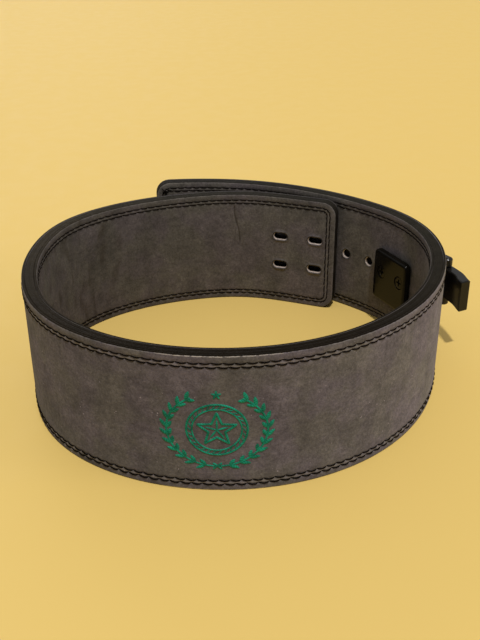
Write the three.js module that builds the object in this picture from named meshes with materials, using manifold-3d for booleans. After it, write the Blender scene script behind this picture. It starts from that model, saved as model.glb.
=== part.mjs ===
// A lever-fastened weightlifting belt, open and standing on its lower edge as it does when put down.
// Millimetres, +Z up. The leather is a thick strap of three bonded layers that runs a little more than
// once round: from the tongue's tip at the back, round the left, the front and the right, to the lever
// end, which lies behind the tongue. Steel lever parts are screwed through the leather on the right.
// The origin is the centre of the floor that the belt covers.

import * as THREE from 'three';
import { mergeVertices } from 'three/addons/utils/BufferGeometryUtils.js';
import Module from 'manifold-3d';

// Sizes of the leather strap.
const strap = {
  length: 1107,
  height: 100,
  core: 6.4,
  suede: 2,
  glueLine: 0.3,
  edgeRadius: 1.2,
  cornerRadius: 12,
  step: 12,
};

// The way the strap bends: its heading in degrees from +X at even shares of its length.
// Each row is one stretch, with the headings at its start, a third and two thirds along.
const bends = [
  { stretch: 'tongue, creased where the buckle bends it', headings: [158.5, 162, 187] },
  { stretch: 'back left', headings: [203, 223.5, 255.5] },
  { stretch: 'left side', headings: [274.5, 292.5, 318] },
  { stretch: 'front', headings: [340.5, 361, 381.5] },
  { stretch: 'front right', headings: [402, 421.5, 439.5] },
  { stretch: 'right side, under the lever', headings: [461.5, 489, 504] },
  { stretch: 'lever end, behind the tongue', headings: [519, 535.5, 547.5] },
];

// Oblong slots through the tongue, in two columns and two rows, for the hook's prongs.
const slots = {
  long: 13,
  high: 6.5,
  fromTip: 18,
  columns: 2,
  columnSpacing: 32,
  rowSpacing: 27,
};

// One row of round holes along the lever end, which let the lever sit nearer or further.
const holes = {
  diameter: 8,
  spacing: 25,
  spare: 6,
};

// The lever's mounting: the plates on both faces of the leather and the screws through it.
const leverFromEnd = 249;
const backPlate = {
  long: 45,
  high: 44.5,
  thick: 5,
  behindScrews: 1.5,
  belowScrews: 4.2,
  cornerRadius: 4.5,
  edgeRound: 2.2,
};
const basePlate = {
  long: 46,
  high: 38,
  thick: 3,
  cornerRadius: 6,
  edgeRound: 0.8,
};
const screw = {
  shank: 7.4,
  head: 10.8,
  headDepth: 2.2,
  headSink: 0.4,
  headChamfer: 0.6,
  rimDepth: 0.3,
  recess: 1.3,
  crossLong: 6,
  crossWide: 1.3,
};

// The lever: pins are placed by their distance along the belt towards the front, measured from the
// middle of the plates, and by their distance out from the leather.
const leverPin = { along: 4, out: 18.4, diameter: 5 };
const hookPin = { fromLeverPin: 22, diameter: 5, proud: 0.6 };
const pinChamfer = 0.5;
const handle = {
  reach: 53,
  wide: 26.6,
  thick: 8.4,
  knuckleRadius: 5.4,
  edgeRound: 0.8,
};

// The handle's outline from the lever's pin to its tip. The drop is towards the belt, as a share of
// the reach, and the thickness is a share of the handle's.
const handleSections = [
  { reach: 0, drop: 0, thick: 1 },
  { reach: 0.25, drop: 0, thick: 1 },
  { reach: 0.5, drop: 0, thick: 1 },
  { reach: 0.75, drop: 0.02, thick: 1 },
  { reach: 1, drop: 0.095, thick: 0.98 },
];

const ear = { thick: 4.9, radius: 5.2, footLong: 15 };

// The hook: a yoke whose two arms run past the lever to a crossbar that carries the prongs.
const yoke = {
  reach: 62,
  slope: 0.15,
  armThick: 7,
  armHigh: 7,
  eyeRadius: 4.2,
  barLong: 9,
  barThick: 6,
};
const prong = { long: 4.5, curl: 2.2, tipAboveLeather: 2.4, sideRoom: 1 };

// Room between parts that touch or turn on each other.
const gap = 0.3;

// How finely round forms are cut up.
const barSides = 16;
const screwSides = 24;
const cornerSteps = 4;
const halfTurnSteps = 10;
const courseSteps = 4000;

const leather = 0x1d1b1a;
const suedeBrown = 0x57504b;
const blackSteel = 0x111112;

const thickness = strap.core + 2 * (strap.glueLine + strap.suede);
const middle = strap.height / 2;
const up = new THREE.Vector3(0, 0, 1);

const wasm = await Module();
wasm.setup();

// Booleans: a closed geometry becomes a solid, and a cut or joined solid becomes a geometry again.
function solid(geometry) {
  const bare = geometry.clone();
  bare.deleteAttribute('normal');
  bare.deleteAttribute('uv');
  const merged = mergeVertices(bare, 1e-4);
  const vertProperties = new Float32Array(merged.getAttribute('position').array);
  const triVerts = new Uint32Array(merged.getIndex().array);
  return new wasm.Manifold(new wasm.Mesh({ numProp: 3, vertProperties, triVerts }));
}

function geometryOf(manifold) {
  const { vertProperties, triVerts } = manifold.getMesh();
  const geometry = new THREE.BufferGeometry();
  geometry.setAttribute('position', new THREE.BufferAttribute(vertProperties, 3));
  geometry.setIndex(new THREE.BufferAttribute(triVerts, 1));
  const flat = geometry.toNonIndexed();
  flat.computeVertexNormals();
  return flat;
}

function cut(geometry, cutters) {
  let result = solid(geometry);
  for (const cutter of cutters) result = result.subtract(solid(cutter));
  return geometryOf(result);
}

function join(geometries) {
  let result = solid(geometries[0]);
  for (const geometry of geometries.slice(1)) result = result.add(solid(geometry));
  return geometryOf(result);
}

// The strap's course: the middle of its thickness, seen from above, walked in fine steps.
const headingCurve = new THREE.SplineCurve(
  bends.flatMap((row) => row.headings).map((heading, i) => new THREE.Vector2(i, heading)),
);

function headingAt(s) {
  const share = THREE.MathUtils.clamp(s / strap.length, 0, 1);
  return THREE.MathUtils.degToRad(headingCurve.getPoint(share).y);
}

const course = [new THREE.Vector2(0, 0)];
for (let i = 0; i < courseSteps; i += 1) {
  const stepLength = strap.length / courseSteps;
  const heading = headingAt((i + 0.5) * stepLength);
  const stride = new THREE.Vector2(Math.cos(heading), Math.sin(heading)).multiplyScalar(stepLength);
  course.push(course[i].clone().add(stride));
}

// The place at a distance s along the strap: its point, the direction of travel and the way out.
function placeAt(s) {
  const position = THREE.MathUtils.clamp((s / strap.length) * courseSteps, 0, courseSteps);
  const i = Math.min(Math.floor(position), courseSteps - 1);
  const point = course[i].clone().lerp(course[i + 1], position - i);
  const heading = headingAt(s);
  const along = new THREE.Vector3(Math.cos(heading), Math.sin(heading), 0);
  const out = new THREE.Vector3().crossVectors(along, up);
  return { point: new THREE.Vector3(point.x, point.y, middle), along, out };
}

// A point of the strap: s along it, n out from its middle and z up from its middle height.
function onStrap(s, n, z) {
  const { point, out } = placeAt(s);
  return point.addScaledVector(out, n).addScaledVector(up, z);
}

// A closed body from rings of points: each ring runs up one side and down the other, so that its
// first half pairs with its second half. Both ends are closed with strips between the pairs.
function lofted(rings) {
  const count = rings[0].length;
  const positions = rings.flat().flatMap((p) => [p.x, p.y, p.z]);
  const index = [];
  for (let i = 0; i + 1 < rings.length; i += 1) {
    for (let j = 0; j < count; j += 1) {
      const a = i * count + j;
      const b = i * count + ((j + 1) % count);
      index.push(a, b, b + count, a, b + count, a + count);
    }
  }
  const last = (rings.length - 1) * count;
  for (let j = 0; j + 1 < count / 2; j += 1) {
    const mate = count - 1 - j;
    index.push(j, mate - 1, j + 1, j, mate, mate - 1);
    index.push(last + j, last + j + 1, last + mate - 1, last + j, last + mate - 1, last + mate);
  }
  const geometry = new THREE.BufferGeometry();
  geometry.setAttribute('position', new THREE.Float32BufferAttribute(positions, 3));
  geometry.setIndex(index);
  return geometry;
}

// How far a quarter-round edge stands in from the outline, at a height above its start.
function quarterRound(radius, height) {
  const rise = THREE.MathUtils.clamp(height, 0, radius);
  return radius - Math.sqrt(radius * radius - rise * rise);
}

// A slab that follows the strap from one distance along it to another. Its outline is a rectangle
// with round corners. Each level has a distance out from the strap's middle and an inset.
function bentSlab({ from, to, high, cornerRadius, levels }) {
  const straight = to - from - 2 * cornerRadius;
  const steps = Math.max(1, Math.ceil(straight / strap.step));
  const turns = Array.from({ length: cornerSteps }, (_, k) => (k / cornerSteps) * (Math.PI / 2));
  const ends = turns.map((turn) => ({ side: -1, cos: Math.cos(turn), sin: Math.sin(turn) }));
  const run = Array.from({ length: steps + 1 }, (_, k) => ({ side: 0, share: k / steps }));
  const farEnds = ends.map((end) => ({ ...end, side: 1 })).reverse();
  const rings = [...ends, ...run, ...farEnds].map((station) => {
    const spots = levels.map(({ n, inset }) => {
      const radius = cornerRadius - inset;
      if (station.side === 0) {
        return { s: from + cornerRadius + station.share * straight, n, half: high / 2 - inset };
      }
      const centre = station.side < 0 ? from + cornerRadius : to - cornerRadius;
      const half = high / 2 - cornerRadius + radius * station.sin;
      return { s: centre + station.side * radius * station.cos, n, half };
    });
    const top = spots.map(({ s, n, half }) => onStrap(s, n, half));
    const bottom = spots.map(({ s, n, half }) => onStrap(s, n, -half));
    return [...top, ...bottom.reverse()];
  });
  return lofted(rings);
}

// Levels of a slab between two distances out, with a round edge on its outermost or innermost side.
function levelsBetween(inner, outer, edgeRadius, steps) {
  return Array.from({ length: steps + 1 }, (_, k) => {
    const n = THREE.MathUtils.lerp(inner, outer, k / steps);
    const faceDistance = edgeRadius - (Math.max(Math.abs(inner), Math.abs(outer)) - Math.abs(n));
    return { n, inset: quarterRound(edgeRadius, faceDistance) };
  });
}

// A closed stack of outlines in the XY plane, each at its own height, joined by its sides.
function stacked(outlines) {
  const count = outlines[0].points.length;
  const positions = outlines.flatMap(({ points, at }) => points.flatMap((p) => [p.x, p.y, at]));
  const index = [];
  for (let i = 0; i + 1 < outlines.length; i += 1) {
    for (let j = 0; j < count; j += 1) {
      const a = i * count + j;
      const b = i * count + ((j + 1) % count);
      index.push(a, b, b + count, a, b + count, a + count);
    }
  }
  const last = (outlines.length - 1) * count;
  for (const [a, b, c] of THREE.ShapeUtils.triangulateShape(outlines[0].points, [])) {
    index.push(c, b, a);
    index.push(last + a, last + b, last + c);
  }
  const geometry = new THREE.BufferGeometry();
  geometry.setAttribute('position', new THREE.Float32BufferAttribute(positions, 3));
  geometry.setIndex(index);
  return geometry;
}

// A rectangle with round corners, as points counted anticlockwise.
function roundedRectangle(long, high, radius) {
  const corners = [[1, 1], [-1, 1], [-1, -1], [1, -1]];
  return corners.flatMap(([sideX, sideY], corner) => {
    const centre = new THREE.Vector2(sideX * (long / 2 - radius), sideY * (high / 2 - radius));
    return Array.from({ length: cornerSteps + 1 }, (_, k) => {
      const turn = (corner + k / cornerSteps) * (Math.PI / 2);
      return new THREE.Vector2(Math.cos(turn), Math.sin(turn)).multiplyScalar(radius).add(centre);
    });
  });
}

// A flat outline drawn in the XY plane and drawn out along Z, centred on Z, with chamfered rims.
function profile(points, thick, chamfer = 0) {
  const geometry = new THREE.ExtrudeGeometry(new THREE.Shape(points), {
    depth: thick - 2 * chamfer,
    bevelEnabled: chamfer > 0,
    bevelThickness: chamfer,
    bevelSize: chamfer,
    bevelOffset: -chamfer,
    bevelSegments: 1,
    steps: 1,
  });
  return geometry.translate(0, 0, chamfer - thick / 2);
}

// A round bar along Z, centred on its length.
function bar(radius, long) {
  return new THREE.CylinderGeometry(radius, radius, long, barSides).rotateX(Math.PI / 2);
}

// The lever's mounting frame: X towards the front along the belt, Y out from the leather's outer
// face, Z up, with its origin at the plates' middle.
const leverPlace = placeAt(strap.length - leverFromEnd);
const leverFrame = new THREE.Matrix4()
  .makeBasis(leverPlace.along.clone().negate(), leverPlace.out, up)
  .setPosition(leverPlace.point.clone().addScaledVector(leverPlace.out, thickness / 2));
const intoLeverFrame = leverFrame.clone().invert();

// The frame of a cutter at a distance s along the strap: X along it, Y up and Z out.
function cutterFrame(s) {
  const { point, along, out } = placeAt(s);
  return new THREE.Matrix4().makeBasis(along, up, out).setPosition(point);
}

const throughLength = 3 * thickness;

// A slot's ends are round: their radius stops just short of half its height.
const slotEndShare = 0.499;

function slotCutters() {
  const cutters = [];
  const outline = roundedRectangle(slots.long, slots.high, slotEndShare * slots.high);
  for (let column = 0; column < slots.columns; column += 1) {
    for (const side of [-1, 1]) {
      const s = slots.fromTip + column * slots.columnSpacing;
      const slot = profile(outline, throughLength).translate(0, (side * slots.rowSpacing) / 2, 0);
      cutters.push(slot.applyMatrix4(cutterFrame(s)));
    }
  }
  return cutters;
}

// The first spare hole lies one spacing past the rear screw.
function spareHoleCutters() {
  return Array.from({ length: holes.spare }, (_, k) => {
    const s = strap.length - leverFromEnd + (k + 1.5) * holes.spacing;
    return bar(holes.diameter / 2, throughLength).applyMatrix4(cutterFrame(s));
  });
}

// The screws stand square to the plates, one half spacing either side of their middle.
const screwPlaces = [
  { name: 'screw_front', along: holes.spacing / 2 },
  { name: 'screw_rear', along: -holes.spacing / 2 },
];

function screwHoleCutters(diameter) {
  return screwPlaces.map(({ along }) => {
    const radius = diameter / 2;
    return new THREE.CylinderGeometry(radius, radius, throughLength, barSides).translate(along, 0, 0);
  });
}

function strapLayer(levels) {
  const slab = bentSlab({
    from: 0,
    to: strap.length,
    high: strap.height,
    cornerRadius: strap.cornerRadius,
    levels,
  });
  const screwHoles = screwHoleCutters(holes.diameter).map((cutter) => cutter.applyMatrix4(leverFrame));
  return cut(slab, [...slotCutters(), ...spareHoleCutters(), ...screwHoles]);
}

function leatherCore() {
  return strapLayer(levelsBetween(-strap.core / 2, strap.core / 2, 0, 1));
}

function suedeFacing(side) {
  const gluedFace = side * (strap.core / 2 + strap.glueLine);
  const nap = (side * thickness) / 2;
  const levels = levelsBetween(gluedFace, nap, strap.edgeRadius, 3);
  return strapLayer(side > 0 ? levels : levels.reverse());
}

// How far out the leather's inner face lies in the lever's frame, at its most inward point over a
// flat plate with the given middle and length. The leather's flat strips stand in from its true
// curve a little.
const tightestRadius = 90;
const stripSag = strap.step ** 2 / (8 * tightestRadius);

function innerFaceOver(plateMiddle, long) {
  const centre = strap.length - leverFromEnd;
  const samples = 100;
  const depths = Array.from({ length: samples + 1 }, (_, k) => (k / samples - 0.5) * 2 * long)
    .map((offset) => onStrap(centre + offset, -thickness / 2, 0).applyMatrix4(intoLeverFrame))
    .filter((spot) => Math.abs(spot.x - plateMiddle) <= long / 2 + gap)
    .map((spot) => spot.y);
  return Math.min(...depths) - stripSag;
}

const plateBack = innerFaceOver(-backPlate.behindScrews, backPlate.long) - gap;
const plateFront = plateBack - backPlate.thick;
const screwFace = plateFront + screw.headSink;

function backPlateBody() {
  const { long, high, thick, cornerRadius, edgeRound } = backPlate;
  const roundSteps = 3;
  const outlines = [{ points: roundedRectangle(long, high, cornerRadius), at: 0 }];
  for (let k = 0; k <= roundSteps; k += 1) {
    const rise = edgeRound * Math.sin((k / roundSteps) * (Math.PI / 2));
    const inset = quarterRound(edgeRound, rise);
    const points = roundedRectangle(long - 2 * inset, high - 2 * inset, cornerRadius - inset);
    outlines.push({ points, at: thick - edgeRound + rise });
  }
  // The stack's height runs inwards, away from the leather.
  const plate = stacked(outlines)
    .rotateX(Math.PI / 2)
    .translate(-backPlate.behindScrews, plateBack, -backPlate.belowScrews);
  const seat = screwShape({ room: gap, chamfer: 0, from: plateFront - thickness, to: thickness });
  return cut(plate, screwPlaces.map(({ along }) => seat.clone().translate(along, 0, 0)));
}

// A screw's turned form about Y, with its head inwards, from one distance out to another. The room
// is the clearance all round when it is the hole for the screw.
function screwShape({ room, chamfer, from, to }) {
  const shank = screw.shank / 2 + room;
  const head = screw.head / 2 + room;
  const points = [
    new THREE.Vector2(0, from),
    new THREE.Vector2(head - chamfer, from),
    new THREE.Vector2(head, screwFace + screw.rimDepth),
    new THREE.Vector2(shank, screwFace + screw.headDepth + room),
    new THREE.Vector2(shank, to),
    new THREE.Vector2(0, to),
  ];
  return new THREE.LatheGeometry(points, screwSides);
}

function screwBody(along) {
  const shape = screwShape({
    room: 0,
    chamfer: screw.headChamfer,
    from: screwFace,
    to: basePlate.thick + gap,
  });
  const depth = 2 * screw.recess;
  const crossCuts = [
    new THREE.BoxGeometry(screw.crossLong, depth, screw.crossWide),
    new THREE.BoxGeometry(screw.crossWide, depth, screw.crossLong),
  ].map((box) => box.translate(0, screwFace, 0));
  return cut(shape, crossCuts).translate(along, 0, 0);
}

// The base bracket: a plate bent to the leather, with two ears that hold the lever's pin.
const pinHalf = handle.wide / 2 - gap;

function baseBracket() {
  const centre = strap.length - leverFromEnd;
  const inner = thickness / 2 + gap;
  const outer = inner + basePlate.thick;
  const { edgeRound } = basePlate;
  const plate = bentSlab({
    from: centre - basePlate.long / 2,
    to: centre + basePlate.long / 2,
    high: basePlate.high,
    cornerRadius: basePlate.cornerRadius,
    levels: [
      { n: inner, inset: 0 },
      { n: outer - edgeRound, inset: 0 },
      { n: outer, inset: edgeRound },
    ],
  }).applyMatrix4(intoLeverFrame);
  const root = gap + basePlate.thick / 2;
  const { along, out } = leverPin;
  const outline = [
    new THREE.Vector2(along - ear.footLong / 2, root),
    new THREE.Vector2(along + ear.footLong / 2, root),
  ];
  for (let k = 0; k <= halfTurnSteps; k += 1) {
    const turn = (k / halfTurnSteps) * Math.PI;
    const round = new THREE.Vector2(Math.cos(turn), Math.sin(turn)).multiplyScalar(ear.radius);
    outline.push(round.add(new THREE.Vector2(along, out)));
  }
  const ears = [-1, 1].map((side) =>
    profile(outline, ear.thick).translate(0, 0, side * (pinHalf - ear.thick / 2)));
  const whole = join([plate, ...ears]);
  const pinHole = bar(leverPin.diameter / 2 + gap, 2 * handle.wide).translate(along, out, 0);
  return cut(whole, [pinHole, ...screwHoleCutters(screw.shank + 2 * gap)]);
}

// A pin along Z with chamfered ends, centred on its length.
function pin(diameter, long) {
  const radius = diameter / 2;
  const tip = long / 2;
  const points = [
    new THREE.Vector2(0, -tip),
    new THREE.Vector2(radius - pinChamfer, -tip),
    new THREE.Vector2(radius, pinChamfer - tip),
    new THREE.Vector2(radius, tip - pinChamfer),
    new THREE.Vector2(radius - pinChamfer, tip),
    new THREE.Vector2(0, tip),
  ];
  return new THREE.LatheGeometry(points, barSides).rotateX(Math.PI / 2);
}

const hookPinAt = new THREE.Vector2(leverPin.along + hookPin.fromLeverPin, leverPin.out);

// The handle, drawn from above about the lever's pin and closed against the belt.
function leverHandle() {
  const columnCurve = (key) => new THREE.SplineCurve(
    handleSections.map((row) => new THREE.Vector2(row.reach, row[key])),
  );
  const drops = columnCurve('drop');
  const thicks = columnCurve('thick');
  const samples = 12;
  const outer = [];
  const inner = [];
  for (let k = 0; k <= samples; k += 1) {
    const share = k / samples;
    const along = leverPin.along + share * handle.reach;
    const centre = leverPin.out - drops.getPoint(share).y * handle.reach;
    const half = (thicks.getPoint(share).y * handle.thick) / 2;
    outer.unshift(new THREE.Vector2(along, centre + half));
    inner.push(new THREE.Vector2(along, centre - half));
  }
  const blade = profile([...inner, ...outer], handle.wide, handle.edgeRound);
  const { along, out } = leverPin;
  const knuckleHalf = pinHalf - ear.thick - gap;
  const knuckle = bar(handle.knuckleRadius, 2 * knuckleHalf).translate(along, out, 0);
  const clearance = Math.hypot(ear.radius, handle.thick / 2) + gap;
  const sideCutLong = 2 * clearance;
  const sideCutThick = handle.wide / 2 - knuckleHalf;
  const sideCuts = [-1, 1].map((side) =>
    new THREE.BoxGeometry(sideCutLong, 4 * handle.thick, 2 * sideCutThick)
      .translate(along, out, side * (knuckleHalf + sideCutThick)));
  const notched = cut(blade, sideCuts);
  const bores = [
    bar(leverPin.diameter / 2 + gap, 2 * handle.wide).translate(along, out, 0),
    bar(hookPin.diameter / 2 + gap, 2 * handle.wide).translate(hookPinAt.x, hookPinAt.y, 0),
  ];
  return cut(join([notched, knuckle]), bores);
}

// The hook: two arms, the crossbar that joins them behind the lever, and the prongs under it.
const armInner = handle.wide / 2 + gap;
const armOuter = armInner + yoke.armThick;

function hookYoke() {
  const eye = hookPinAt;
  const lean = Math.atan(yoke.slope);
  const back = new THREE.Vector2(-Math.cos(lean), -Math.sin(lean));
  const side = new THREE.Vector2(-back.y, back.x);
  const barAt = eye.clone().addScaledVector(back, yoke.reach);
  const arm = [];
  for (let k = 0; k <= halfTurnSteps; k += 1) {
    const turn = (k / halfTurnSteps) * Math.PI;
    const round = side.clone().multiplyScalar(Math.cos(turn));
    round.addScaledVector(back, -Math.sin(turn)).multiplyScalar(yoke.eyeRadius);
    arm.push(round.add(eye));
  }
  arm.push(barAt.clone().addScaledVector(side, -yoke.armHigh / 2));
  arm.push(barAt.clone().addScaledVector(side, yoke.armHigh / 2));
  const arms = [-1, 1].map((hand) =>
    profile(arm.slice().reverse(), yoke.armThick, handle.edgeRound)
      .translate(0, 0, (hand * (armInner + armOuter)) / 2));
  const crossbar = profile(
    roundedRectangle(yoke.barLong, yoke.barThick, yoke.barThick / 3).map((p) => p.add(barAt)),
    2 * armOuter,
    handle.edgeRound,
  );
  const leatherOut = onStrap(strap.length - leverFromEnd - barAt.x, thickness / 2, 0)
    .applyMatrix4(intoLeverFrame).y;
  const tip = leatherOut + prong.tipAboveLeather;
  const half = prong.long / 2;
  const hook = [
    new THREE.Vector2(barAt.x - half, barAt.y),
    new THREE.Vector2(barAt.x - half, tip + half),
    new THREE.Vector2(barAt.x - half / 3, tip),
    new THREE.Vector2(barAt.x + half + prong.curl, tip),
    new THREE.Vector2(barAt.x + half + prong.curl, tip + half),
    new THREE.Vector2(barAt.x + half, tip + 2 * half),
    new THREE.Vector2(barAt.x + half, barAt.y),
  ];
  const prongWide = slots.high - 2 * prong.sideRoom;
  const prongs = [-1, 1].map((hand) =>
    profile(hook, prongWide).translate(0, 0, (hand * slots.rowSpacing) / 2));
  const whole = join([crossbar, ...arms, ...prongs]);
  const eyeHole = bar(hookPin.diameter / 2 + gap, 4 * armOuter).translate(eye.x, eye.y, 0);
  return cut(whole, [eyeHole]);
}

function piece(name, geometry, color, roughness, metalness) {
  const material = new THREE.MeshStandardMaterial({ color, roughness, metalness });
  const mesh = new THREE.Mesh(geometry, material);
  mesh.name = name;
  return mesh;
}

function steel(name, geometry) {
  return piece(name, geometry, blackSteel, 0.3, 0.8);
}

const leatherPieces = new THREE.Group();
leatherPieces.add(
  piece('leather_core', leatherCore(), leather, 0.55, 0),
  piece('outer_suede', suedeFacing(1), suedeBrown, 0.95, 0),
  piece('inner_suede', suedeFacing(-1), suedeBrown, 0.95, 0),
);

const leverPieces = new THREE.Group();
leverPieces.applyMatrix4(leverFrame);
leverPieces.add(
  steel('back_plate', backPlateBody()),
  ...screwPlaces.map(({ name, along }) => steel(name, screwBody(along))),
  steel('base_bracket', baseBracket()),
  steel(
    'lever_pin',
    pin(leverPin.diameter, 2 * pinHalf).translate(leverPin.along, leverPin.out, 0),
  ),
  steel('lever_handle', leverHandle()),
  steel(
    'hook_pin',
    pin(hookPin.diameter, 2 * (armOuter + hookPin.proud)).translate(hookPinAt.x, hookPinAt.y, 0),
  ),
  steel('hook_yoke', hookYoke()),
);

const standing = new THREE.Group();
standing.add(leatherPieces, leverPieces);
standing.updateMatrixWorld(true);
const footprint = new THREE.Box3().setFromObject(standing, true);
const floorCentre = footprint.getCenter(new THREE.Vector3()).setZ(footprint.min.z);
standing.position.sub(floorCentre);

const belt = new THREE.Group();
belt.add(standing);

export default belt;
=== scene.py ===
"""Looks of a lever-fastened weightlifting belt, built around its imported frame.

The strap's facings and core are rebuilt with fine meshes that follow the same course as the solids:
s is the distance along the strap from the tongue's tip, z the height from its middle, and n the
distance out from the middle of its thickness. The steel parts are their own solids with the sharp
edges eased.
"""

import math

import bpy
import numpy as np
from mathutils import Matrix, Vector, noise
from mathutils.geometry import delaunay_2d_cdt


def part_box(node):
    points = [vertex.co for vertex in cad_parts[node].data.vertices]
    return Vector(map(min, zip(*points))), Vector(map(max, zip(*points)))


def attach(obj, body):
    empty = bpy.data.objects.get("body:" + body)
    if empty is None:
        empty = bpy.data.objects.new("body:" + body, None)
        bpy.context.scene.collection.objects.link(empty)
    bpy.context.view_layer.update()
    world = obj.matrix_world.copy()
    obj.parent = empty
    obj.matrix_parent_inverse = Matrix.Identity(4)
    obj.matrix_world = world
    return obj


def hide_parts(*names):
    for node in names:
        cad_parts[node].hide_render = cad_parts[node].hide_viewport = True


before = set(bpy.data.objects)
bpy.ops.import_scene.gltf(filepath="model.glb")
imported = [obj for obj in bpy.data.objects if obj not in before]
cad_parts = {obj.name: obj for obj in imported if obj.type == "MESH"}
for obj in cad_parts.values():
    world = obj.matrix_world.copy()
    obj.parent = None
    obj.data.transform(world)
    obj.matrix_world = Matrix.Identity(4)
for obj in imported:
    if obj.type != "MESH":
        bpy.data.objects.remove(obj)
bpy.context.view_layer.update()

MM = 0.001

# The strap as the part is built.
STRAP_LENGTH = 1107 * MM
STRAP_HEIGHT = 100 * MM
CORE_THICKNESS = 6.4 * MM
SUEDE_THICKNESS = 2 * MM
GLUE_LINE = 0.3 * MM
THICKNESS = CORE_THICKNESS + 2 * (GLUE_LINE + SUEDE_THICKNESS)
EDGE_RADIUS = 1.2 * MM
CORNER_RADIUS = 12 * MM
CORNER_STEPS = 6
# The strap's direction in degrees from +X, at even shares of its length.
HEADINGS = (
    158.5, 162, 187, 203, 223.5, 255.5, 274.5, 292.5, 318, 340.5, 361,
    381.5, 402, 421.5, 439.5, 461.5, 489, 504, 519, 535.5, 547.5,
)

# The openings through the strap: the slots in the tongue, and the holes along the lever end.
SLOT_LONG = 13 * MM
SLOT_HIGH = 6.5 * MM
SLOT_PLACES = [(s * MM, z * MM) for s in (18, 50) for z in (-13.5, 13.5)]
HOLE_DIAMETER = 8 * MM
HOLE_SPACING = 25 * MM
LEVER_FROM_END = 249 * MM
SPARE_HOLES = 6
SCREW_HOLE_DIAMETER = 9.4 * MM
ARC_STEPS = 9

# The seams: two rows of stitches all round each face, at these distances from the edge.
SEAM_ROWS = (5.2 * MM, 8.0 * MM)
STITCH_PITCH = 7.0 * MM
# How wide the thread shows on the outer face (1) and on the inner face (-1), where it sinks in.
THREAD_WIDE = {1: 1.0 * MM, -1: 0.8 * MM}
THREAD_HIGH = 0.8 * MM
STITCH_SLANT = 0.55 * MM
# How far a stitch's middle sags below its ends, and the share of that in the upper rows.
STITCH_SAG = {1: 0.85 * MM, -1: 0.25 * MM}
UPPER_SAG = 0.6
# How unevenly the stitches are laid and pulled.
STITCH_JITTER = 0.22 * MM
SAG_RANGE = (0.7, 1.25)

# The embroidered badge on the front.
BADGE_S = 546 * MM
BADGE_Z = -3.5 * MM


# ---------------- the strap's course

def heading(s):
    """The strap's direction of travel in radians, on a Catmull-Rom curve through the headings."""
    values = np.array(HEADINGS, float)
    last = len(values) - 1
    t = np.clip(np.asarray(s, float) / STRAP_LENGTH, 0, 1) * last
    i = np.minimum(t.astype(int), last)
    w = t - i
    p0, p1 = values[np.maximum(i - 1, 0)], values[i]
    p2, p3 = values[np.minimum(i + 1, last)], values[np.minimum(i + 2, last)]
    v0, v1 = (p2 - p0) / 2, (p3 - p1) / 2
    cubic = (2 * p1 - 2 * p2 + v0 + v1) * w ** 3
    square = (-3 * p1 + 3 * p2 - 2 * v0 - v1) * w ** 2
    return np.radians(cubic + square + v0 * w + p1)


COURSE_STEPS = 4000
course_s = np.linspace(0, STRAP_LENGTH, COURSE_STEPS + 1)
stride = heading((course_s[1:] + course_s[:-1]) / 2)
step_length = STRAP_LENGTH / COURSE_STEPS
course_x = np.concatenate([[0], np.cumsum(np.cos(stride))]) * step_length
course_y = np.concatenate([[0], np.cumsum(np.sin(stride))]) * step_length


def raw_place(s, n):
    """Where a point of the course lies in plan, before the course is set into the frame."""
    turn = heading(s)
    x = np.interp(s, course_s, course_x) + n * np.sin(turn)
    y = np.interp(s, course_s, course_y) - n * np.cos(turn)
    return x, y


def set_into_frame():
    """The shift that lays the course's outer face on the outer facing's box."""
    low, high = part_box("outer_suede")
    x, y = raw_place(course_s, THICKNESS / 2)
    shift_x = (low.x + high.x - x.min() - x.max()) / 2
    shift_y = (low.y + high.y - y.min() - y.max()) / 2
    return shift_x, shift_y, (low.z + high.z) / 2


SHIFT_X, SHIFT_Y, MIDDLE_Z = set_into_frame()


def on_strap(s, z, n):
    """Points of the strap as an array of frame coordinates."""
    x, y = raw_place(np.asarray(s, float), np.asarray(n, float))
    return np.stack([x + SHIFT_X, y + SHIFT_Y, np.asarray(z, float) + MIDDLE_Z], axis=-1)


# ---------------- meshes laid on the strap

def placed_object(name, data):
    """A new object in the scene."""
    made = bpy.data.objects.new(name, data)
    bpy.context.scene.collection.objects.link(made)
    return made


def smooth_mesh(name, points, faces, materials, map_name, maps):
    """A new object of one smooth mesh, with a map given by its vertices."""
    mesh = bpy.data.meshes.new(name)
    mesh.from_pydata(points.tolist(), [], faces)
    for material in materials:
        mesh.materials.append(material)
    mesh.polygons.foreach_set("use_smooth", [True] * len(mesh.polygons))
    corners = np.zeros(len(mesh.loops), np.int32)
    mesh.loops.foreach_get("vertex_index", corners)
    uv = mesh.uv_layers.new(name=map_name)
    uv.data.foreach_set("uv", maps[corners].ravel())
    mesh.update()
    return placed_object(name, mesh)


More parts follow.
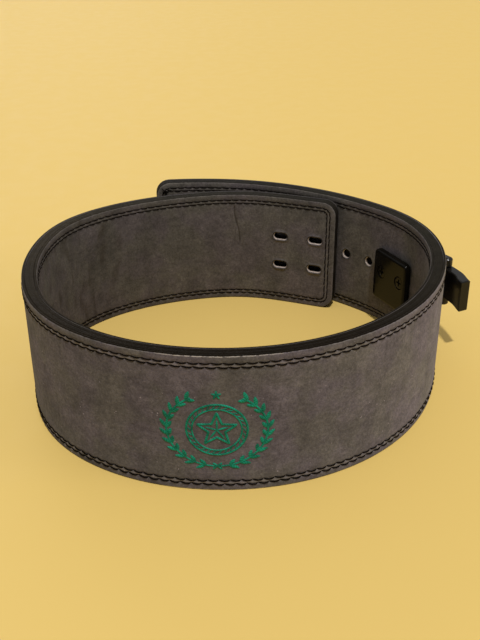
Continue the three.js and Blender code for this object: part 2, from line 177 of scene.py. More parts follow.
def rounded_outline(inset):
    """The strap's outline in (s, z), drawn in by an inset, with one point for each half stitch."""
    half = STRAP_HEIGHT / 2
    radius = CORNER_RADIUS - inset
    long_steps = 2 * round((STRAP_LENGTH - 2 * CORNER_RADIUS) / STITCH_PITCH)
    short_steps = 2 * round((STRAP_HEIGHT - 2 * CORNER_RADIUS) / STITCH_PITCH)
    corners = [
        (STRAP_LENGTH - CORNER_RADIUS, CORNER_RADIUS - half, -90, long_steps),
        (STRAP_LENGTH - CORNER_RADIUS, half - CORNER_RADIUS, 0, short_steps),
        (CORNER_RADIUS, half - CORNER_RADIUS, 90, long_steps),
        (CORNER_RADIUS, CORNER_RADIUS - half, 180, short_steps),
    ]
    points = []
    previous = np.array([CORNER_RADIUS, inset - half])
    for centre_s, centre_z, start, side_steps in corners:
        turns = np.radians(start + 90 * np.linspace(0, 1, CORNER_STEPS + 1))
        arc = np.stack([np.cos(turns), np.sin(turns)], -1) * radius + (centre_s, centre_z)
        shares = np.linspace(0, 1, side_steps + 1)[1:-1, None]
        side = previous + shares * (arc[0] - previous)
        points += [side, arc]
        previous = arc[-1]
    return np.roll(np.concatenate(points), 1, axis=0)


def sagged(outline, shares, sag):
    """An outline whose points are lowered by a share of the stitches' sag, where it runs level."""
    run = np.roll(outline, -1, axis=0) - np.roll(outline, 1, axis=0)
    level = np.abs(run[:, 0]) / np.hypot(*run.T)
    return outline - np.stack([np.zeros(len(outline)), sag * shares * level], -1)


def stadium(centre, long, high, grown):
    """A slot's outline in (s, z): two half circles joined by straights. A round hole is one too."""
    radius = high / 2 + grown
    reach = max(0.0, (long - high) / 2)
    turns = np.radians(np.linspace(-90, 90, ARC_STEPS + 1))
    right = np.stack([np.cos(turns), np.sin(turns)], -1) * radius + (reach, 0)
    left = -right
    if reach == 0:
        right, left = right[:-1], left[:-1]
    return np.concatenate([right, left]) + centre


def openings():
    """Each opening through the strap: its centre, length and height."""
    slots = [(place, SLOT_LONG, SLOT_HIGH) for place in SLOT_PLACES]
    lever = STRAP_LENGTH - LEVER_FROM_END
    screws = [
        ((lever + side * HOLE_SPACING / 2, 0.0), SCREW_HOLE_DIAMETER, SCREW_HOLE_DIAMETER)
        for side in (-1, 1)
    ]
    spares = [
        ((lever + (k + 1.5) * HOLE_SPACING, 0.0), HOLE_DIAMETER, HOLE_DIAMETER)
        for k in range(SPARE_HOLES)
    ]
    return slots + screws + spares


def inside_opening(points, grown):
    """Which points lie in an opening that is grown by some distance."""
    found = np.zeros(len(points), bool)
    for (s, z), long, high in openings():
        reach = max(0.0, (long - high) / 2)
        ds = np.maximum(np.abs(points[:, 0] - s) - reach, 0)
        found |= np.hypot(ds, points[:, 1] - z) < high / 2 + grown
    return found


# A leather piece's materials by their places: its own surface, the cut in an opening, edge paint.
SURFACE, CUT, PAINT = 0, 1, 2
# The distance from the edge that is given to points well inside a face.
FAR_INSIDE = 1.0
# Free points inside a face keep off its border by this share of their spacing, and off an
# opening's lip and off given points by these distances.
BORDER_SHARE = 0.4
LIP_ROOM = 0.9 * MM
POINT_ROOM = 1.4 * MM
# Tolerances: how far inside an opening a triangle's middle has to lie, and where points merge.
HOLE_TOLERANCE = 0.02 * MM
MERGE_TOLERANCE = 1e-7


class StrapMesh:
    """Gathers vertices given as (s, z, n) and faces, and makes them one mesh object."""

    def __init__(self):
        self.points = []
        self.inset = []
        self.groove = []
        self.faces = []
        self.kinds = []
        self.count = 0

    def add(self, outline, n, inset=0.0, groove=0.0):
        """Adds a row of points at a distance out, one value or one for each. Returns indices."""
        outline = np.asarray(outline, float)
        n = np.broadcast_to(n, len(outline))
        self.points.append(np.column_stack([outline, n]))
        self.inset.append(np.broadcast_to(inset, len(outline)))
        self.groove.append(np.broadcast_to(groove, len(outline)))
        start = self.count
        self.count += len(outline)
        return np.arange(start, self.count)

    def band(self, ring, following, flip=False, kind=SURFACE):
        """Joins two closed rings of equal count with a band of quads."""
        ahead, beyond = np.roll(ring, -1), np.roll(following, -1)
        quads = np.column_stack([ring, ahead, beyond, following])
        if flip:
            quads = quads[:, ::-1]
        self.faces += quads.tolist()
        self.kinds += [kind] * len(quads)

    def fill(self, ring, holes, grown, n_at, step, flip=False, extra=None):
        """Fills the space inside a ring and outside the holes with triangles about step long.

        The holes are openings grown by a distance. The free points take their distance out from
        n_at, and extra points are added to them.
        """
        border = [ring, *holes]
        outline = np.concatenate(self.points)[np.concatenate(border), :2]
        low, high = outline.min(0), outline.max(0)
        counts = np.maximum(np.round((high - low) / step).astype(int), 2)
        grid_s = np.linspace(low[0], high[0], counts[0] + 1)[1:-1]
        grid_z = np.linspace(low[1], high[1], counts[1] + 1)[1:-1]
        grid = np.stack(np.meshgrid(grid_s, grid_z), -1).reshape(-1, 2)
        from_edge = np.minimum(grid - low, high - grid).min(1)
        corner = np.abs(grid - (low + high) / 2) - (high - low) / 2 + CORNER_RADIUS
        round_edge = CORNER_RADIUS - np.hypot(*np.maximum(corner, 0).T)
        room = BORDER_SHARE * step
        clear = (from_edge > room) & (round_edge > room) & ~inside_opening(grid, LIP_ROOM + room)
        grid = grid[clear]
        if extra is not None:
            gaps = np.hypot(*(grid[:, None] - extra[None]).transpose(2, 0, 1)).min(1)
            grid = np.concatenate([grid[gaps > POINT_ROOM], extra])
        inner = self.add(grid, n_at(grid[:, 0], grid[:, 1]), FAR_INSIDE)
        edges = []
        at = 0
        for loop in border:
            count = len(loop)
            edges += [(at + k, at + (k + 1) % count) for k in range(count)]
            at += count
        index = np.concatenate([*border, inner])
        flat = [Vector(p) for p in np.concatenate([outline, grid])]
        made, _, triangles, origins, _, _ = delaunay_2d_cdt(flat, edges, [], 0, MERGE_TOLERANCE)
        source = np.array([o[0] for o in origins])
        triangles = np.array(triangles)
        middles = np.array([tuple(p) for p in made])[triangles].mean(1)
        triangles = triangles[~inside_opening(middles, grown - HOLE_TOLERANCE)]
        triangles = index[source[triangles]]
        if flip:
            triangles = triangles[:, ::-1]
        self.faces += triangles.tolist()
        self.kinds += [SURFACE] * len(triangles)

    def build(self, name, materials, fold=None):
        """Makes the object, with the map and the vertex values that its materials read."""
        points = np.concatenate(self.points)
        made = smooth_mesh(name, on_strap(*points.T), self.faces, materials, "strap",
                           points[:, :2])
        mesh = made.data
        mesh.polygons.foreach_set("material_index", self.kinds)
        values = {
            "edge_distance": np.concatenate(self.inset),
            "groove": np.concatenate(self.groove),
        }
        if fold is not None:
            values["fold"] = fold(points[:, 0], points[:, 1])
        for key, numbers in values.items():
            attribute = mesh.attributes.new(key, "FLOAT", "POINT")
            attribute.data.foreach_set("value", numbers.astype(np.float32))
        mesh.update()
        return made


# ---------------- node materials

SOCKETS = {
    "roughness": "Roughness", "specular": "Specular IOR Level", "sheen": "Sheen Weight",
    "sheen_roughness": "Sheen Roughness", "colour": "Base Color",
}


class Nodes:
    """A material's node tree, with short calls for the nodes used here."""

    def __init__(self, name):
        self.material = bpy.data.materials.new(name)
        self.material.use_nodes = True
        self.tree = self.material.node_tree
        self.shader = self.tree.nodes["Principled BSDF"]

    def new(self, kind, **settings):
        node = self.tree.nodes.new(kind)
        for key, value in settings.items():
            setattr(node, key, value)
        return node

    def link(self, source, target):
        self.tree.links.new(source, target)

    def finish(self, **values):
        """Sets plain values on the shader's own sockets, and returns the material."""
        for name, value in values.items():
            self.shader.inputs[SOCKETS[name]].default_value = value
        return self.material

    def put(self, socket, value):
        """Links an output to a socket, or sets a plain value on it."""
        if isinstance(value, bpy.types.NodeSocket):
            self.link(value, socket)
        else:
            socket.default_value = value

    def coordinates(self, kind="Object", stretch=(1, 1, 1)):
        source = self.new("ShaderNodeTexCoord").outputs[kind]
        mapping = self.new("ShaderNodeMapping")
        self.link(source, mapping.inputs["Vector"])
        mapping.inputs["Scale"].default_value = stretch
        return mapping.outputs["Vector"]

    def noise(self, vector, scale, detail=4.0, roughness=0.55, distortion=0.0):
        node = self.new("ShaderNodeTexNoise")
        self.link(vector, node.inputs["Vector"])
        for name, value in (("Scale", scale), ("Detail", detail), ("Roughness", roughness),
                            ("Distortion", distortion)):
            node.inputs[name].default_value = value
        return node.outputs["Fac"]

    def spots(self, vector, scale):
        node = self.new("ShaderNodeTexVoronoi")
        self.link(vector, node.inputs["Vector"])
        node.inputs["Scale"].default_value = scale
        return node.outputs["Distance"]

    def ramp(self, value, stops):
        """Colours, or greys given as numbers, at positions from 0 to 1."""
        node = self.new("ShaderNodeValToRGB")
        self.link(value, node.inputs["Fac"])
        elements = node.color_ramp.elements
        while len(elements) < len(stops):
            elements.new(0.5)
        for element, (position, colour) in zip(elements, stops):
            element.position = position
            element.color = (*colour, 1) if isinstance(colour, tuple) else (colour,) * 3 + (1,)
        return node.outputs["Color"]

    def remap(self, value, low, high, to_low=0.0, to_high=1.0):
        node = self.new("ShaderNodeMapRange", interpolation_type="SMOOTHSTEP")
        self.link(value, node.inputs["Value"])
        for name, number in (("From Min", low), ("From Max", high), ("To Min", to_low),
                             ("To Max", to_high)):
            node.inputs[name].default_value = number
        return node.outputs["Result"]

    def math(self, operation, a, b=0.0):
        node = self.new("ShaderNodeMath", operation=operation)
        self.put(node.inputs[0], a)
        self.put(node.inputs[1], b)
        return node.outputs["Value"]

    def mix(self, share, a, b, blend="MIX"):
        """Mixes two colours. The sockets 6 and 7 and the output 2 are those for colours."""
        node = self.new("ShaderNodeMix", data_type="RGBA", blend_type=blend)
        for socket, value in ((node.inputs["Factor"], share), (node.inputs[6], a),
                              (node.inputs[7], b)):
            self.put(socket, (*value, 1) if isinstance(value, tuple) else value)
        return node.outputs[2]

    def bump(self, height, strength, distance):
        node = self.new("ShaderNodeBump")
        self.link(height, node.inputs["Height"])
        node.inputs["Strength"].default_value = strength
        node.inputs["Distance"].default_value = distance
        return node.outputs["Normal"]

    def attribute(self, name):
        return self.new("ShaderNodeAttribute", attribute_name=name).outputs["Fac"]


# The tables along the strap give distances from the tongue's tip in millimetres.
# The edge paint's colour along the strap: darkest at the front, paler and browner away from it,
# as painted reflection and shade of the rim.
EDGE_PAINT_AND_PAINTED_LIGHT = [
    (0, (0.015, 0.013, 0.010)), (160, (0.021, 0.018, 0.013)),
    (270, (0.028, 0.022, 0.014)), (400, (0.017, 0.013, 0.008)),
    (500, (0.0075, 0.005, 0.0024)), (620, (0.0075, 0.005, 0.0024)),
    (740, (0.015, 0.012, 0.008)), (860, (0.018, 0.016, 0.011)),
    (1107, (0.015, 0.013, 0.011)),
]
RUBBED_PAINT = (0.040, 0.034, 0.028)
# Painted shade in the seams' grooves.
SEAM_PAINTED_SHADE = (0.008, 0.006, 0.005)
OUTER_OLIVE = (0.206, 0.191, 0.190)
OUTER_PURPLE = (0.211, 0.186, 0.219)
INNER_OLIVE = (0.101, 0.092, 0.081)
INNER_PURPLE = (0.102, 0.088, 0.090)
# How light the nap shows along the strap: on the outer face the lighter right side is painted
# sheen of its nap; the inner face is darker from about 210 to 320 mm.
OUTER_BRUSHING_AND_SHEEN = [
    (0, 0.5), (310, 0.60), (380, 0.48), (480, 0.44), (600, 0.47),
    (720, 0.71), (800, 1.0), (900, 0.65), (1107, 0.5),
]
INNER_NAP_LIGHTNESS = [
    (0, 0.95), (130, 0.90), (210, 0.70), (320, 0.70), (500, 0.8),
    (850, 1.0), (1107, 0.95),
]
# How much of the nap's edge is made pale: rubbed wear all along, and a painted highlight on the
# front's edges.
EDGE_WEAR_AND_HIGHLIGHT = [
    (0, 0.10), (430, 0.10), (505, 0.15), (525, 0.9), (575, 0.7),
    (600, 0.15), (720, 0.12), (1107, 0.10),
]
PALE_NAP_AND_HIGHLIGHT = (0.42, 0.38, 0.34)
# Painted shade in the folds' valleys, and a painted highlight on their ridges.
VALLEY_PAINTED_SHADE = (0.026, 0.019, 0.012)
RIDGE_PAINTED_HIGHLIGHT = (0.098, 0.086, 0.072)


def along_strap(m, values):
    """A colour or lightness that changes along the strap, from one of the tables."""
    strap = m.new("ShaderNodeSeparateXYZ")
    m.link(m.coordinates("UV"), strap.inputs[0])
    share = m.math("DIVIDE", strap.outputs["X"], STRAP_LENGTH)
    return m.ramp(share, [(s * MM / STRAP_LENGTH, value) for s, value in values])


def paint_seam_shade(m, colour, light):
    """Paints shade into the grooves that the stitches lie in, and a highlight onto the puckered nap
    between them.
    """
    groove = m.attribute("groove")
    colour = m.mix(m.remap(groove, -0.5, 0.0, 0.35, 0.0), colour, light)
    return m.mix(m.remap(groove, 0.1, 1.0, 0.0, 0.85), colour, SEAM_PAINTED_SHADE)


def suede_material(name, olive, purple, nap_lightness, folded):
    """Brushed suede in a mottled grey, with the black edge paint that laps over its rim."""
    m = Nodes(name)
    place = m.coordinates("Object")
    patches = m.noise(place, 42, 4, 0.62, 0.3)
    clouds = m.noise(place, 130, 3, 0.6)
    scuffs = m.noise(m.coordinates("UV", (0.45, 1.0, 1.0)), 210, 4, 0.6, 0.5)
    grain = m.noise(place, 520, 3, 0.65)
    nap = m.noise(place, 1400, 2, 0.6)
    colour = m.mix(m.remap(m.noise(place, 30, 3, 0.6), 0.38, 0.62), olive, purple)
    streaks = m.noise(m.coordinates("UV", (1.0, 0.35, 1.0)), 48, 3, 0.6, 0.4)
    colour = m.mix(m.remap(streaks, 0.52, 0.66, 0.0, 0.35), colour, tuple(0.62 * c for c in olive))
    for share, value, dark, light in ((0.75, patches, 0.38, 0.62), (0.45, clouds, 0.36, 0.64),
                                      (0.40, scuffs, 0.36, 0.66), (0.55, grain, 0.32, 0.70),
                                      (0.45, nap, 0.28, 0.72)):
        colour = m.mix(share, colour, m.ramp(value, [(0.3, dark), (0.7, light)]), "OVERLAY")
    # Lightness along the strap; on the outer face it holds painted sheen on the right side.
    colour = m.mix(1.0, colour, along_strap(m, nap_lightness), "MULTIPLY")
    flecks = m.remap(m.spots(place, 420), 0.10, 0.18, 1.0, 0.0)
    kept = m.remap(m.noise(place, 110, 2), 0.60, 0.70)
    colour = m.mix(m.math("MULTIPLY", flecks, kept), colour, tuple(1.9 * c for c in purple))
    if folded:
        # Painted shade in the valleys of the folds, and a painted highlight on their ridges.
        fold = m.attribute("fold")
        colour = m.mix(m.remap(fold, -0.75, -0.05, 0.50, 0.0), colour, VALLEY_PAINTED_SHADE)
        colour = m.mix(m.remap(fold, 0.15, 0.70, 0.0, 0.30), colour, RIDGE_PAINTED_HIGHLIGHT)
    # Painted shade in the seam grooves, and a painted highlight on the puckers between the rows.
    colour = paint_seam_shade(m, colour, tuple(1.5 * c for c in olive))
    ragged = m.math("MULTIPLY", m.math("SUBTRACT", m.noise(place, 420, 3), 0.5), 0.9 * MM)
    edge = m.math("ADD", m.attribute("edge_distance"), ragged)
    paint = m.remap(edge, 0.25 * MM, 0.60 * MM, 1.0, 0.0)
    # Pale nap just in from the edge: rubbed wear, with a painted highlight along the front.
    wear_and_highlight = m.math("MULTIPLY", m.remap(edge, 0.70 * MM, 1.15 * MM, 1.0, 0.0),
                  m.remap(m.noise(place, 300, 2), 0.36, 0.52))
    colour = m.mix(m.math("MULTIPLY", wear_and_highlight, along_strap(m, EDGE_WEAR_AND_HIGHLIGHT)), colour, PALE_NAP_AND_HIGHLIGHT)
    # The edge paint, darkest at the front: painted reflection and shade along the rim.
    m.link(m.mix(paint, colour, along_strap(m, EDGE_PAINT_AND_PAINTED_LIGHT)), m.shader.inputs["Base Color"])
    m.link(m.remap(paint, 0.0, 1.0, 0.95, 0.55), m.shader.inputs["Roughness"])
    coarse = m.math("ADD", grain, m.math("MULTIPLY", clouds, 0.8))
    height = m.math("ADD", m.math("MULTIPLY", nap, 0.5), coarse)
    m.link(m.bump(height, 0.45, 0.4 * MM), m.shader.inputs["Normal"])
    return m.finish(specular=0.05, sheen=0.04, sheen_roughness=0.5)


def painted_edge_material():
    """Black edge paint over the stacked leather, matt and a little uneven."""
    m = Nodes("edge_paint")
    place = m.coordinates("Object")
    cloud = m.noise(place, 90, 4, 0.6)
    fine = m.noise(place, 700, 3, 0.6)
    shade = m.ramp(cloud, [(0.3, 0.34), (0.7, 0.66)])
    # Darkest at the front and paler away from it: painted reflection and shade along the rim.
    colour = m.mix(0.8, along_strap(m, EDGE_PAINT_AND_PAINTED_LIGHT), shade, "OVERLAY")
    rubbed = m.remap(m.noise(place, 240, 4, 0.65), 0.62, 0.74, 0.0, 0.35)
    colour = m.mix(rubbed, colour, RUBBED_PAINT)
    m.link(colour, m.shader.inputs["Base Color"])
    m.link(m.remap(fine, 0.3, 0.7, 0.50, 0.70), m.shader.inputs["Roughness"])
    m.link(m.bump(m.math("ADD", cloud, m.math("MULTIPLY", fine, 0.5)), 0.45, 0.5 * MM),
           m.shader.inputs["Normal"])
    return m.finish(specular=0.03)


def cut_leather_material(name, dark, light):
    """Fibrous leather where the strap is punched through."""
    m = Nodes(name)
    fibres = m.noise(m.coordinates("Object"), 500, 4, 0.65)
    m.link(m.ramp(fibres, [(0.3, dark), (0.7, light)]), m.shader.inputs["Base Color"])
    m.link(m.bump(fibres, 0.6, 0.4 * MM), m.shader.inputs["Normal"])
    return m.finish(roughness=0.9, specular=0.1)


def thread_material(name, dark, light, roughness, specular):
    """Bonded thread: plies twist round it, seen in its own map, whose first axis is along it."""
    m = Nodes(name)
    wave = m.new("ShaderNodeTexWave", wave_type="BANDS", bands_direction="DIAGONAL")
    m.link(m.coordinates("UV"), wave.inputs["Vector"])
    wave.inputs["Scale"].default_value = 380
    wave.inputs["Distortion"].default_value = 0.6
    shade = m.noise(m.coordinates("Object"), 240, 3)
    colour = m.mix(m.remap(shade, 0.3, 0.7), dark, light)
    colour = m.mix(0.5, colour, m.ramp(wave.outputs["Fac"], [(0.0, 0.28), (1.0, 0.68)]), "OVERLAY")
    m.link(colour, m.shader.inputs["Base Color"])
    m.link(m.bump(wave.outputs["Fac"], 0.5, 0.15 * MM), m.shader.inputs["Normal"])
    return m.finish(roughness=roughness, specular=specular)


def black_steel_material(name, colour, roughness, specular, rubbed):
    """Black-coated steel with fine wear, rubbed paler in places where it has been handled."""
    m = Nodes(name)
    place = m.coordinates("Object")
    cloud = m.noise(place, 70, 4, 0.6)
    fine = m.noise(place, 1100, 3, 0.6)
    scratches = m.noise(m.coordinates("Object", (0.3, 0.3, 1.6)), 900, 3, 0.6)
    dark = tuple(0.8 * c for c in colour)
    light = tuple(1.25 * c for c in colour)
    base = m.mix(m.remap(cloud, 0.35, 0.65), dark, light)
    base = m.mix(m.remap(scratches, 0.64, 0.74, 0.0, rubbed), base, tuple(3 * c for c in colour))
    m.link(base, m.shader.inputs["Base Color"])
    gloss = m.remap(cloud, 0.3, 0.7, roughness * 0.93, roughness * 1.08)
    m.link(gloss, m.shader.inputs["Roughness"])
    m.link(m.bump(fine, 0.06, 0.1 * MM), m.shader.inputs["Normal"])
    return m.finish(specular=specular)


# ---------------- folds in the inner face

# Sharp creases in the inner face near the tongue, in millimetres: how deep, then points in (s, z).
CREASES = [
    (1.5, [(93.0, 39.0), (93.2, 33.0), (92.0, 27.0), (90.0, 20.0), (88.6, 13.0), (88.3, 6.0)]),
    (0.35, [(91.6, 22.0), (93.0, 12.0), (92.6, 0.0), (91.6, -11.0)]),
]
# Offsets of the rows of mesh points on either side of a crease, the step along it, and how near to
# another crease's rows a point may lie, in millimetres.
CREASE_ACROSS = (-2.1, -0.95, 0.0, 0.95, 2.1)
CREASE_STEP = 2.0
CREASE_ROOM = 0.8
# Where the strap bends most at the left, its inner face is pressed into upright folds.
FOLDS_START = (180 * MM, 225 * MM)
FOLDS_END = (300 * MM, 350 * MM)
FOLD_HIGH = 0.45 * MM


def smooth(values, low, high):
    """Values from 0 at low to 1 at high, easing in and out."""
    share = np.clip((values - low) / (high - low), 0, 1)
    return share * share * (3 - 2 * share)


def from_path(s, z, path):
    """Distance in millimetres from points in (s, z) to a path of straights."""
    points = np.column_stack([s, z]) / MM
    nearest = np.full(len(points), 1e9)
    for start, end in zip(np.array(path[:-1]), np.array(path[1:])):
        run = end - start
        share = np.clip((points - start) @ run / (run @ run), 0, 1)
        nearest = np.minimum(nearest, np.hypot(*(points - start - share[:, None] * run).T))
    return nearest


def folds(s, z):
    """The inner face's folds and creases, from about -1 in a valley to 1 on a ridge."""
    here = smooth(s, *FOLDS_START) * (1 - smooth(s, *FOLDS_END))
    values = np.zeros(len(s))
    for k in np.flatnonzero(here):
        drift = 0.010 * noise.noise(Vector((s[k] * 20, z[k] * 22, 3.1)))
        broad = noise.noise(Vector(((s[k] + drift) * 110, z[k] * 24, 7.7)))
        small = noise.noise(Vector(((s[k] + drift) * 210, z[k] * 80, 1.3)))
        values[k] = here[k] * (0.8 * broad + 0.75 * small)
    for depth, path in CREASES:
        off = from_path(s, z, path)
        values += depth * (0.35 * np.exp(-((off - 1.5) / 0.7) ** 2) - np.exp(-(off / 0.7) ** 2))
    return values


def crease_points():
    """Close rows of points along the creases, so that the mesh can follow them."""
    kept = np.zeros((0, 2))
    for _, path in CREASES:
        spine, _ = resampled(np.array(path), CREASE_STEP)
        run = np.gradient(spine, axis=0)
        run /= np.hypot(*run.T)[:, None]
        across = np.stack([-run[:, 1], run[:, 0]], -1)
        rows = np.concatenate([spine + offset * across for offset in CREASE_ACROSS]) * MM
        if len(kept):
            gaps = np.hypot(*(rows[:, None] - kept[None]).transpose(2, 0, 1)).min(1)
            rows = rows[gaps > CREASE_ROOM * MM]
        kept = np.concatenate([kept, rows])
    return kept


def resampled(path, step):
    """A path with points a step apart, and its length."""
    gaps = np.hypot(*np.diff(path, axis=0).T)
    total = np.concatenate([[0], np.cumsum(gaps)])
    count = max(4, int(round(total[-1] / step)))
    at = np.linspace(0, total[-1], count + 1)
    return np.stack([np.interp(at, total, axis) for axis in path.T], -1), total[-1]


# ---------------- the leather layers

# Each face's relief near the edge: distance in from the edge, depth below the face at a stitch's
# ends and at its middle, how much painted shade of the seam's groove it gets (below zero, a painted
# highlight on the puckered nap), and the row that it belongs to. The rows lie in shallow grooves
# half a stitch out of step, with the nap puckered up between them.
RELIEF = [
    (2.6, 0.00, 0.00, 0.0, None),
    (4.4, -0.04, -0.10, 0.0, 0),
    (4.8, 0.20, 0.04, 0.2, 0),
    (5.2, 0.50, 0.26, 1.0, 0),
    (5.6, 0.20, 0.04, 0.2, 0),
    (6.6, -0.14, -0.14, -0.5, None),
    (7.6, 0.20, 0.04, 0.2, 1),
    (8.0, 0.50, 0.26, 1.0, 1),
    (8.4, 0.20, 0.04, 0.2, 1),
    (9.6, -0.02, -0.02, 0.0, None),
]
ROUND_STEPS = 5
# How many bands of a facing's rim, from the core outward, are wholly under the edge paint.
PAINTED_BANDS = 3
FINE_STEP = 2.8 * MM
COARSE_STEP = 12 * MM
# Each opening's lip in a facing: distance out from the cut and depth below the face.
LIP = (
    (LIP_ROOM, 0.0), (0.30 * MM, 0.05 * MM), (0.0, 0.30 * MM), (-0.35 * MM, SUEDE_THICKNESS),
)
SWELL_HIGH = 0.18 * MM


def swell(s, z):
    """Slow unevenness of a facing, in metres, that keeps the strap from looking machined."""
    spots = [noise.noise(Vector((a * 28, b * 28, 0.5))) for a, b in zip(s, z)]
    return SWELL_HIGH * np.array(spots)


def facing(name, side, materials, relief=None, extra=None):
    """One suede facing: a closed slab with a rounded edge, seam grooves and punched openings."""
    body = StrapMesh()
    outward = side > 0
    face = THICKNESS / 2

    def level(depth):
        return side * (face - depth)

    def face_level(s, z):
        height = swell(s, z)
        if relief is not None:
            height = height + FOLD_HIGH * relief(s, z)
        return level(-height)

    rings = [body.add(rounded_outline(0.0), level(SUEDE_THICKNESS), 0.0)]
    for angle in np.linspace(0, math.pi / 2, ROUND_STEPS):
        inset = EDGE_RADIUS * (1 - math.cos(angle))
        depth = EDGE_RADIUS * (1 - math.sin(angle))
        rings.append(body.add(rounded_outline(inset), level(depth), inset))
    for inset_mm, end_depth, middle_depth, groove, row in RELIEF:
        outline = rounded_outline(inset_mm * MM)
        if row is None:
            sags = np.full(len(outline), 0.5 if groove else 0.0)
        else:
            sags = (np.arange(len(outline)) + row) % 2.0
        outline = sagged(outline, sags, STITCH_SAG[side])
        depths = (end_depth + sags * (middle_depth - end_depth)) * MM
        rings.append(body.add(outline, level(depths), inset_mm * MM, groove))
    for k, (ring, following) in enumerate(zip(rings, rings[1:])):
        body.band(ring, following, flip=not outward, kind=PAINT if k < PAINTED_BANDS else SURFACE)

    lips = []
    backs = []
    for centre, long, high in openings():
        hole_rings = [
            body.add(stadium(centre, long, high, grown), level(depth), FAR_INSIDE)
            for grown, depth in LIP
        ]
        for k, (ring, following) in enumerate(zip(hole_rings, hole_rings[1:])):
            body.band(ring, following, flip=outward, kind=CUT if k == len(LIP) - 2 else SURFACE)
        lips.append(hole_rings[0])
        backs.append(hole_rings[-1])

    body.fill(rings[-1], lips, LIP[0][0], face_level, FINE_STEP, flip=not outward, extra=extra)
    body.fill(rings[0], backs, LIP[-1][0], lambda s, z: level(SUEDE_THICKNESS), COARSE_STEP,
              flip=outward)
    return body.build(name, materials, relief)


# The core's edge: distance out from the strap's middle and depth of the groove there, across the
# thickness. A dark joint runs along each side of it, and a faint one down its middle.
CORE_EDGE = [
    (-3.44, 0.55), (-3.22, 0.28), (-3.00, 0.06), (-2.60, 0.00), (-1.20, 0.00), (-0.55, 0.04),
    (-0.35, 0.16), (-0.15, 0.04), (1.20, 0.00), (2.60, 0.00), (3.00, 0.06), (3.22, 0.28),
    (3.44, 0.55),
]
# An opening's wall in the core: distance out from the strap's middle, and how much wider it is.
CORE_WALL = ((-3.44, 0.0), (-1.2, -0.15), (1.2, -0.15), (3.44, 0.0))


def core(name, materials):
    """The stiff middle leather, whose painted edge is the rim, and whose cut lines the holes."""
    body = StrapMesh()
    rings = [
        body.add(rounded_outline(depth * MM), n * MM, 0.0)
        for n, depth in CORE_EDGE
    ]
    for ring, following in zip(rings, rings[1:]):
        body.band(ring, following)
    walls = []
    for centre, long, high in openings():
        wall = [
            body.add(stadium(centre, long, high, grown * MM), n * MM, FAR_INSIDE)
            for n, grown in CORE_WALL
        ]
        for ring, following in zip(wall, wall[1:]):
            body.band(ring, following, flip=True, kind=CUT)
        walls.append(wall)
    for end, flip in ((0, True), (-1, False)):
        out, grown = CORE_WALL[end]
        body.fill(rings[end], [wall[end] for wall in walls], grown * MM,
                  lambda s, z: out * MM, COARSE_STEP, flip)
    return body.build(name, materials)


# ---------------- threads

def tube_faces(stations, sides, start):
    """Faces of a closed tube with pointed ends: rings of points between two end points."""
    faces = []
    first = start
    last = start + 1 + stations * sides
    for j in range(sides):
        k = (j + 1) % sides
        faces.append((first, start + 1 + k, start + 1 + j))
        base = start + 1 + (stations - 1) * sides
        faces.append((last, base + j, base + k))
        for i in range(stations - 1):
            a = start + 1 + i * sides
            faces.append((a + j, a + k, a + sides + k, a + sides + j))
    return faces


# A stitch from end to end: how far along it is, how far its thread stands out, and its width.
STITCH_SHARES = np.array([0.0, 0.05, 0.22, 0.5, 0.78, 0.95, 1.0])
STITCH_RISES = np.array([-0.65, -0.30, 0.10, 0.22, 0.10, -0.30, -0.65]) * MM
STITCH_WIDTHS = np.array([0.0, 0.85, 1.0, 1.0, 1.0, 0.85, 0.0])
THREAD_SIDES = 6


def seam(name, side, material):
    """Both stitch rows of one face: each stitch is a short slanted loop of thread."""
    sides = THREAD_SIDES
    stations = len(STITCH_SHARES) - 2
    shares = STITCH_SHARES
    turns = np.radians(np.arange(sides) * 360 / sides)
    points, maps, faces = [], [], []
    count = 0
    shaky = np.random.default_rng(7 + side)
    for phase, row in enumerate(SEAM_ROWS):
        outline = rounded_outline(row)
        outline += shaky.normal(0, STITCH_JITTER / 2, outline.shape)
        starts = outline[phase::2]
        ends = np.roll(outline, -2, axis=0)[phase::2]
        for k, (a, b) in enumerate(zip(starts, ends)):
            run = b - a
            length = np.hypot(*run)
            across = np.array([-run[1], run[0]]) / length
            slant = -STITCH_SLANT * side * min(1.0, length / STITCH_PITCH)
            centre = a + shares[:, None] * run + across * (slant * (shares - 0.5))[:, None]
            skewed = (shares if side * run[0] > 0 else 1 - shares) ** 1.3
            sag = STITCH_SAG[side] * shaky.uniform(*SAG_RANGE) * abs(run[0]) / length
            sag *= UPPER_SAG if a[1] > 0 else 1.0
            centre[:, 1] -= np.sin(math.pi * skewed) * sag
            local = [np.array([[*centre[0], STITCH_RISES[0]]])]
            for i in range(1, stations + 1):
                sweep = np.cos(turns) * THREAD_WIDE[side] / 2 * STITCH_WIDTHS[i]
                lift = np.sin(turns) * THREAD_HIGH / 2 * STITCH_WIDTHS[i]
                ring = centre[i] + sweep[:, None] * across
                local.append(np.column_stack([ring, STITCH_RISES[i] + lift]))
            local.append(np.array([[*centre[-1], STITCH_RISES[-1]]]))
            points.append(np.concatenate(local))
            along = np.concatenate([[shares[0]], np.repeat(shares[1:-1], sides), [shares[-1]]])
            around = np.concatenate([[0], np.tile(np.arange(sides) / sides, stations), [0]])
            maps.append(np.column_stack([(along + k) * length, around * 3 * THREAD_WIDE[side]]))
            faces += tube_faces(stations, sides, count)
            count += 2 + stations * sides
    s, z, rise = np.concatenate(points).T
    placed = on_strap(s, z, side * (THICKNESS / 2 + rise))
    if side > 0:
        faces = [f[::-1] for f in faces]
    return smooth_mesh(name, placed, faces, [material], "thread", np.concatenate(maps))


